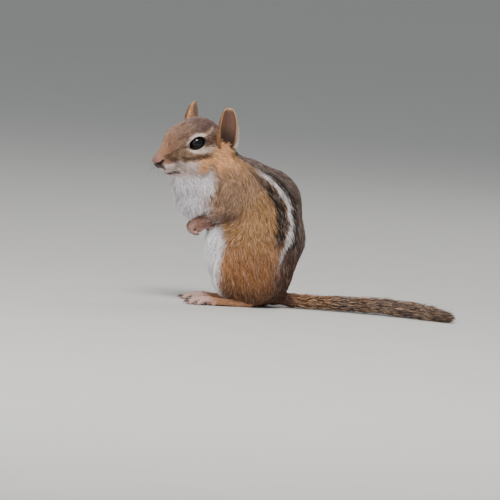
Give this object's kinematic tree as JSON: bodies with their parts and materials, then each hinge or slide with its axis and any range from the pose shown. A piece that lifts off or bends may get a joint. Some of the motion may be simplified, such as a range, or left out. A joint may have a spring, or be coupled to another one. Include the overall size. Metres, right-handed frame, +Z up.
{
  "type": "chipmunk",
  "caption": "Life-size still model of an eastern chipmunk sitting upright, forepaws at its chest, head turned to its left, tail laid out behind.",
  "frame": {"origin": "on the floor under the rump, on the animal's midline, a point of the flat that the rump rests on", "axes": "+Z up, -Y the way the body faces, +X the animal's left side; the tail runs towards +Y"},
  "size_m": [0.059, 0.1641, 0.1093],
  "materials": {
    "body_fur": "short agouti fur, matte",
    "haunch_fur": "short ochre fur, matte",
    "tail_fur": "longer grizzled fur, matte",
    "ear_skin": "thin skin with fine down",
    "paw_skin": "bare skin and short down",
    "eye": "wet gloss"
  },
  "bodies": {
    "root": {"torso": "body_fur", "neck": "body_fur", "haunch_left": "haunch_fur", "hind_foot_left": "paw_skin", "arm_left": "body_fur", "front_paw_left": "paw_skin", "haunch_right": "haunch_fur", "hind_foot_right": "paw_skin", "arm_right": "body_fur", "front_paw_right": "paw_skin", "tail_base": "tail_fur", "tail_middle": "tail_fur", "tail_tip": "tail_fur", "head": "body_fur", "eye_left": "eye", "ear_left": "ear_skin", "eye_right": "eye", "ear_right": "ear_skin"}
  },
  "joints": []
}
